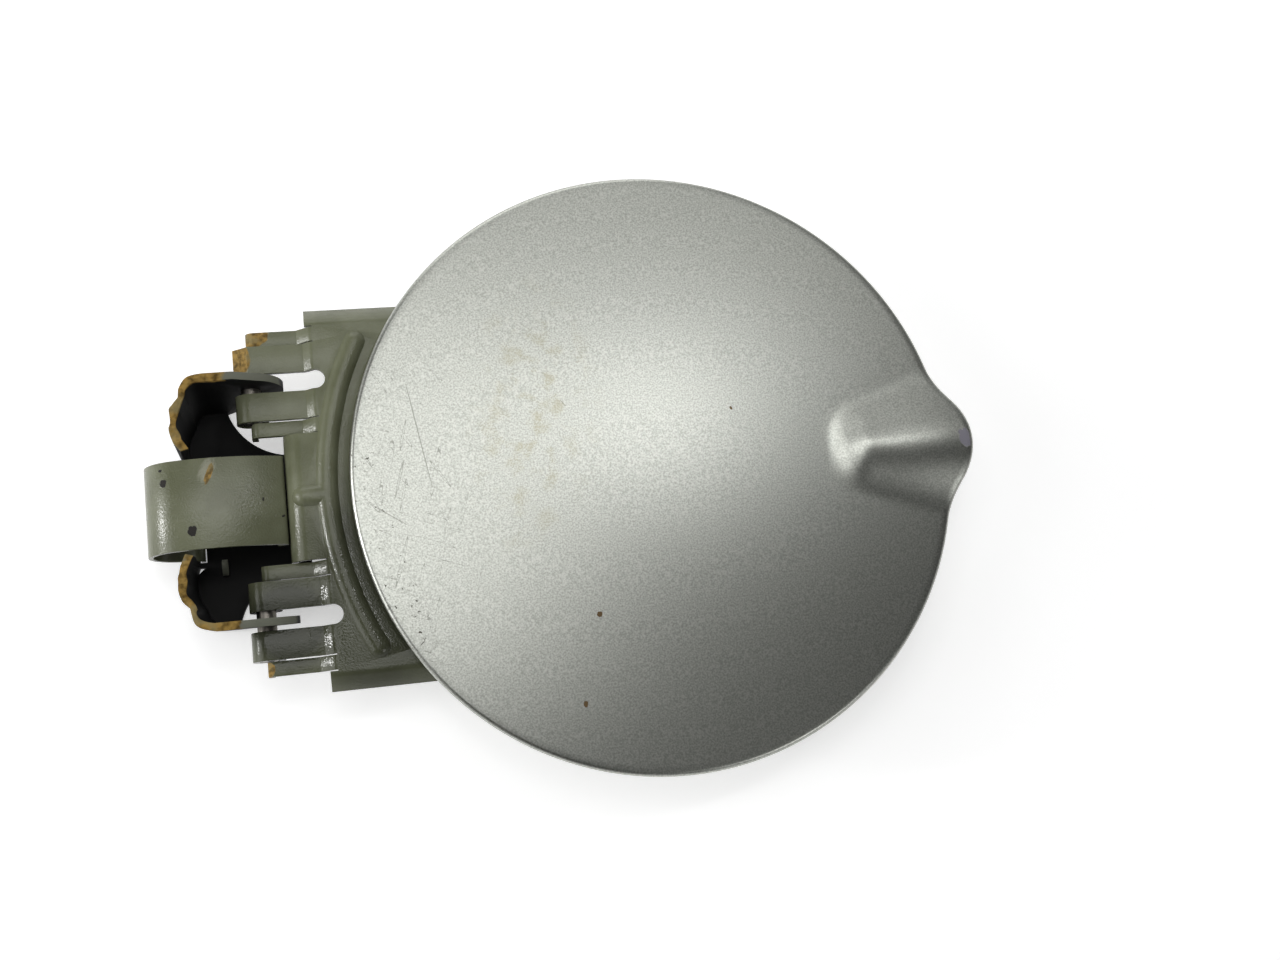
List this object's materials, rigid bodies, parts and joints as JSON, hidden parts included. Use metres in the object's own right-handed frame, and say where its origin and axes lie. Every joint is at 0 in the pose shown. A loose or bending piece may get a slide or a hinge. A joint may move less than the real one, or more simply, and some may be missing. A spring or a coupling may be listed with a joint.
{
  "type": "fuel filler door",
  "caption": "Round hinged fuel filler door with a raised finger lip, a stamped hinge arm, a C-shaped leaf spring and the hinge base torn from the body.",
  "frame": {"origin": "on the underside of the hinge base, straight below the hinge axis, in the middle of its length", "axes": "+X from the hinge to the finger lip, +Y along the hinge axis to the upper hinge, +Z out of the car through the door skin"},
  "size_m": [0.2228, 0.165, 0.0351],
  "materials": {
    "silver_paint": "silver metallic gloss, scratched",
    "olive_paint": "olive-grey gloss, chipped",
    "black_paint": "black satin with rusty torn edges",
    "pin_steel": "dull",
    "black_rubber": "matte",
    "striker_steel": "zinc plated"
  },
  "bodies": {
    "hinge_base": {"hinge_base": "black_paint"},
    "door": {"hinge_arm": "olive_paint", "upper_hinge_pin": "pin_steel", "lower_hinge_pin": "pin_steel", "inner_panel": "silver_paint", "door_skin": "silver_paint", "upper_buffer": "black_rubber", "lower_buffer": "black_rubber", "latch_striker": "striker_steel"},
    "spring": {"leaf_spring": "olive_paint"}
  },
  "joints": [
    {"name": "door_hinge", "type": "hinge", "parent": "hinge_base", "child": "door", "pos_m": [0, 0, 0.018], "axis": [0, -1, 0], "range_deg": [0, 80]},
    {"name": "spring_rock", "type": "hinge", "parent": "hinge_base", "child": "spring", "pos_m": [-0.0162, 0, 0.0012], "axis": [0, -1, 0], "range_deg": [0, 8]}
  ],
  "couplings": [
    {"joint": "spring_rock", "follows": "door_hinge", "ratio": 0.1}
  ]
}
